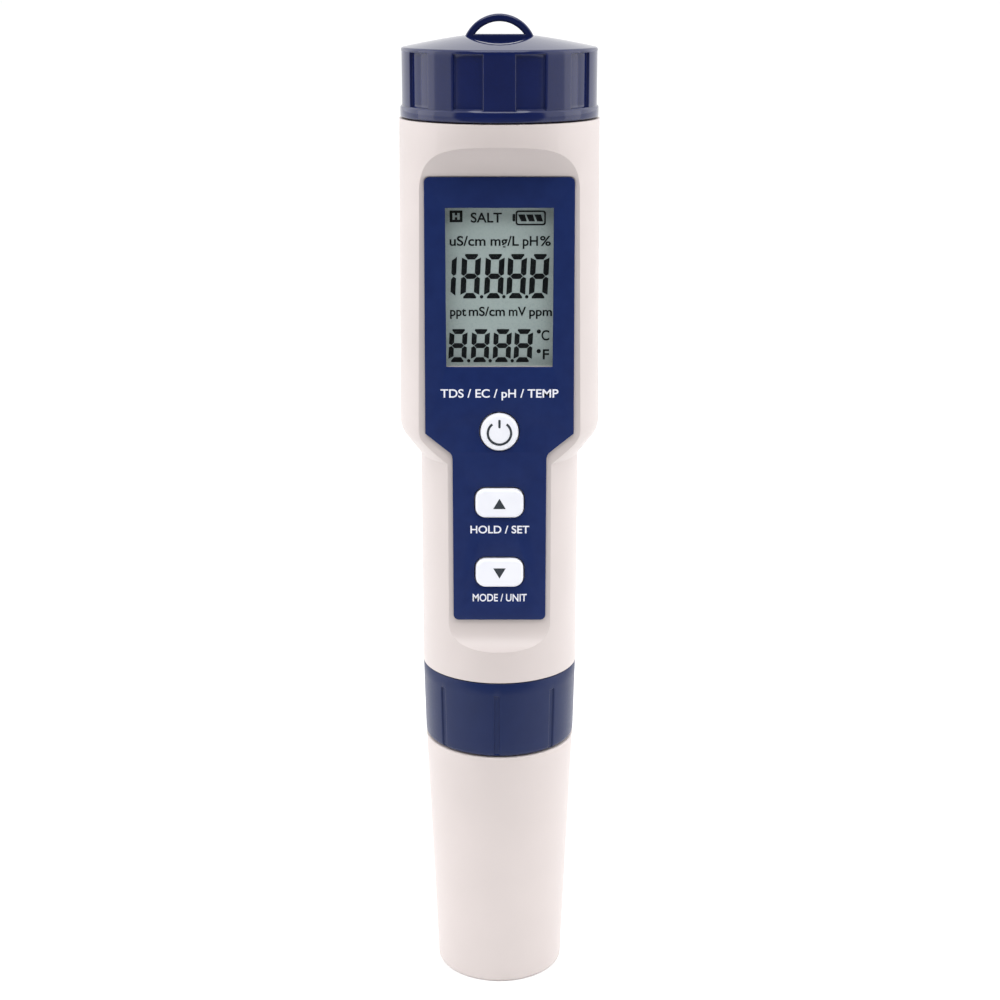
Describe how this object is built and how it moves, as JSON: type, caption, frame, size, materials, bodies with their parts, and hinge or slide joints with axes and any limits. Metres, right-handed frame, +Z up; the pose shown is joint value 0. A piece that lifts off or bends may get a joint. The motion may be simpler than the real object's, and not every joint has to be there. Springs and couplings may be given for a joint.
{
  "type": "digital water tester",
  "caption": "Pen-shaped digital water quality tester with a display, three keys, a screw-off battery cap, a screw-off probe and a pull-off soaking cap it stands on.",
  "frame": {"origin": "centre of the flat base that the soaking cap stands on", "axes": "+Z up along the tester to the lanyard eye, -Y out of the display face, +X to the viewer's right"},
  "size_m": [0.0377, 0.0371, 0.188],
  "materials": {
    "shell_white": "satin moulded ABS, warm white",
    "panel_blue": "navy printed overlay, fine satin",
    "clear_lens": "clear polycarbonate, polished",
    "display": "grey-green reflective liquid crystal display",
    "inner_white": "moulded, natural white",
    "soft_rubber": "conductive silicone strip",
    "circuit_board": "green solder mask",
    "inner_black": "moulded, black",
    "steel": "stainless, plain",
    "contact_metal": "gold-plated contact",
    "seal_rubber": "nitrile O-ring",
    "key_white": "soft satin silicone key",
    "cell_steel": "nickel-plated button cell",
    "cap_blue": "navy polished ABS",
    "probe_white": "satin moulded ABS",
    "sensor_glass": "thin pH glass",
    "junction_ceramic": "porous ceramic",
    "sensor_metal": "titanium pin",
    "collar_blue": "navy satin ABS",
    "sponge": "open-cell foam"
  },
  "bodies": {
    "housing": {"main_housing": "shell_white", "front_panel": "panel_blue", "window_lens": "clear_lens", "display_glass": "display", "display_frame": "inner_white", "backlight": "inner_white", "zebra_strip_top": "soft_rubber", "zebra_strip_bottom": "soft_rubber", "main_board": "circuit_board", "controller_chip": "inner_black", "power_switch": "inner_black", "up_switch": "inner_black", "down_switch": "inner_black", "board_screw_1": "steel", "board_screw_2": "steel", "board_screw_3": "steel", "board_screw_4": "steel", "battery_floor": "inner_white", "battery_leaf_left": "contact_metal", "battery_leaf_right": "contact_metal", "neck_seal": "seal_rubber", "probe_socket": "inner_black"},
    "power_button": {"power_key": "key_white", "power_plunger": "inner_black"},
    "up_button": {"up_key": "key_white", "up_plunger": "inner_black"},
    "down_button": {"down_key": "key_white", "down_plunger": "inner_black"},
    "carriage": {"battery_carriage": "inner_black", "carriage_cover": "inner_black", "contact_bridge": "contact_metal", "cell_1": "cell_steel", "cell_2": "cell_steel", "cell_3": "cell_steel", "cell_4": "cell_steel"},
    "cap": {"battery_cap": "cap_blue", "swivel_screw": "steel"},
    "probe": {"probe_body": "probe_white", "probe_plug": "contact_metal", "barrel_seal": "seal_rubber", "flange_seal": "seal_rubber", "glass_electrode": "sensor_glass", "reference_junction": "junction_ceramic", "cell_pin_left": "sensor_metal", "cell_pin_right": "sensor_metal", "temperature_tube": "steel"},
    "collar": {"probe_collar": "collar_blue"},
    "soaker": {"soaking_cap": "shell_white", "soaking_sponge": "sponge"}
  },
  "joints": [
    {"name": "power_press", "type": "slide", "parent": "housing", "child": "power_button", "axis": [0, 1, 0], "range_m": [0, 0.0006], "stiffness_N_per_m": 2500, "springref_m": -0.0002},
    {"name": "up_press", "type": "slide", "parent": "housing", "child": "up_button", "axis": [0, 1, 0], "range_m": [0, 0.0006], "stiffness_N_per_m": 2500, "springref_m": -0.0002},
    {"name": "down_press", "type": "slide", "parent": "housing", "child": "down_button", "axis": [0, 1, 0], "range_m": [0, 0.0006], "stiffness_N_per_m": 2500, "springref_m": -0.0002},
    {"name": "carriage_lift", "type": "slide", "parent": "housing", "child": "carriage", "axis": [0, 0, 1], "range_m": [0, 0.018]},
    {"name": "cap_unscrew", "type": "hinge", "parent": "carriage", "child": "cap", "pos_m": [0, 0, 0.17], "axis": [0, 0, 1], "range_deg": [0, 1080]},
    {"name": "probe_drop", "type": "slide", "parent": "housing", "child": "probe", "axis": [0, 0, -1], "range_m": [0, 0.015]},
    {"name": "collar_unscrew", "type": "hinge", "parent": "probe", "child": "collar", "pos_m": [0, 0, 0.05], "axis": [0, 0, -1], "range_deg": [0, 1080]},
    {"name": "soaking_cap_pull", "type": "slide", "parent": "probe", "child": "soaker", "axis": [0, 0, -1], "range_m": [0, 0.055]}
  ],
  "couplings": [
    {"joint": "cap_unscrew", "follows": "carriage_lift", "rad_per_m": 1047.2},
    {"joint": "collar_unscrew", "follows": "probe_drop", "rad_per_m": 1256.6}
  ]
}
